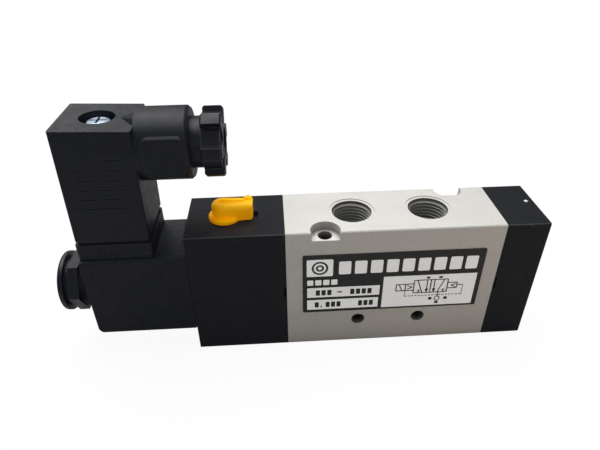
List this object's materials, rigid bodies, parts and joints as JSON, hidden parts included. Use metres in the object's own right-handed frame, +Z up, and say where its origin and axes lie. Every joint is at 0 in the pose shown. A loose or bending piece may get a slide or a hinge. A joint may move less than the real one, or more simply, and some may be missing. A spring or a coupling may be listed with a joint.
{
  "type": "solenoid directional valve",
  "caption": "Slim solenoid-operated five-port spool valve with threaded ports, pilot block with yellow override lever, coil and angled plug connector with cable gland.",
  "frame": {"origin": "centre of the aluminium body's underside, midway between the two diagonal fixing holes", "axes": "+X along the spool from the coil towards the end cap, +Y towards the back, +Z up towards ports A and B"},
  "size_m": [0.1172, 0.0182, 0.0622],
  "materials": {
    "anodised_body": "satin clear anodised aluminium",
    "label": "printed black film label",
    "spool_alloy": "ground and polished",
    "black_rubber": "moulded nitrile",
    "gasket_rubber": "flat nitrile sheet",
    "cage_plastic": "natural acetal",
    "ring_brass": "turned",
    "piston_plastic": "moulded acetal",
    "black_moulding": "fine-textured glass-filled moulding",
    "screw_steel": "zinc plated",
    "yellow_plastic": "moulded, slight sheen",
    "tube_steel": "drawn stainless tube",
    "iron": "turned soft magnetic steel",
    "copper_wire": "enamelled copper winding",
    "coil_resin": "speckled thermoset moulding",
    "tinned_brass": "tin plated",
    "nut_plastic": "moulded",
    "plug_plastic": "fine-textured polyamide"
  },
  "bodies": {
    "valve": {"valve_body": "anodised_body", "label_plate": "label", "bore_seals": "black_rubber", "seal_cages": "cage_plastic", "bore_end_rings": "ring_brass", "end_cap": "black_moulding", "end_cap_gasket": "black_rubber", "end_cap_screws": "screw_steel", "pilot_block": "black_moulding", "pilot_block_gasket": "black_rubber", "pilot_block_screws": "screw_steel", "override_keeper_pin": "screw_steel", "armature_tube": "tube_steel", "tube_o_ring": "black_rubber", "fixed_core": "iron", "plunger_spring": "screw_steel", "coil_yoke": "iron", "coil_bobbin": "cage_plastic", "coil_winding": "copper_wire", "coil_housing": "coil_resin", "terminal_blades": "tinned_brass", "coil_nut": "nut_plastic", "coil_nut_washer": "black_rubber", "plug_gasket": "gasket_rubber", "plug_housing": "plug_plastic", "plug_insert": "plug_plastic", "plug_contacts": "tinned_brass", "wire_screws": "screw_steel", "plug_screw": "screw_steel", "gland_seal": "black_rubber", "gland_washer": "cage_plastic", "gland_nut": "plug_plastic"},
    "spool_train": {"spool": "spool_alloy", "pilot_piston": "piston_plastic", "pilot_piston_seal": "black_rubber", "return_piston": "piston_plastic", "return_piston_seal": "black_rubber"},
    "plunger_iron": {"plunger": "iron", "plunger_seats": "black_rubber"},
    "override_lever": {"manual_override": "yellow_plastic", "override_o_ring": "black_rubber"}
  },
  "joints": [
    {"name": "spool_shift", "type": "slide", "parent": "valve", "child": "spool_train", "axis": [1, 0, 0], "range_m": [0, 0.003]},
    {"name": "plunger_lift", "type": "slide", "parent": "valve", "child": "plunger_iron", "axis": [-1, 0, 0], "range_m": [0, 0.001], "deforming": ["plunger_spring"]},
    {"name": "override_turn", "type": "hinge", "parent": "valve", "child": "override_lever", "pos_m": [-0.03975, -0.0006, 0.035], "axis": [0, 0, -1], "range_deg": [0, 90]}
  ]
}
